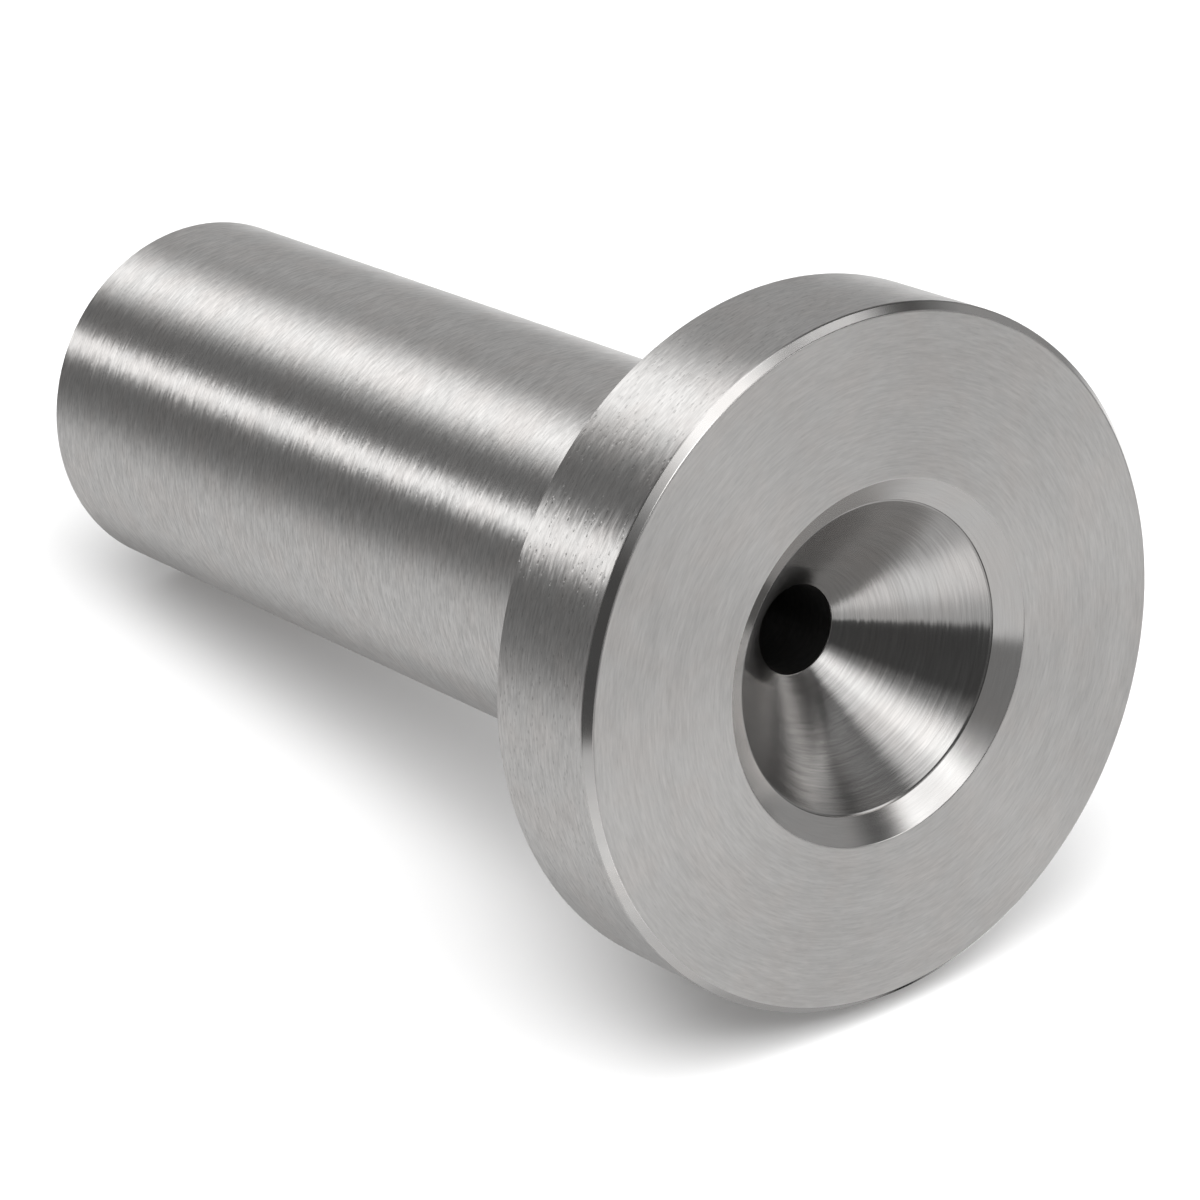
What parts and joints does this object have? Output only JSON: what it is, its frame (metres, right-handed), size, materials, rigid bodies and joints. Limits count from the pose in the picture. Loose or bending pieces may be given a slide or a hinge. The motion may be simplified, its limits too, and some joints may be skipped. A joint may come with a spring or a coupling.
{
  "type": "sprue bushing",
  "caption": "Turned steel sprue bushing: plain cylindrical shank, wide flat head, chamfered conical nozzle seat and a tapered through channel.",
  "frame": {"origin": "centre of the shank's flat end, on the bushing's axis; the bushing stands on that end with its head up", "axes": "+Z along the bushing's axis from the shank end to the head's front face"},
  "size_m": [0.035, 0.035, 0.06],
  "materials": {
    "steel": "fine-turned bare tool steel"
  },
  "bodies": {
    "root": {"sprue_bushing": "steel"}
  },
  "joints": []
}
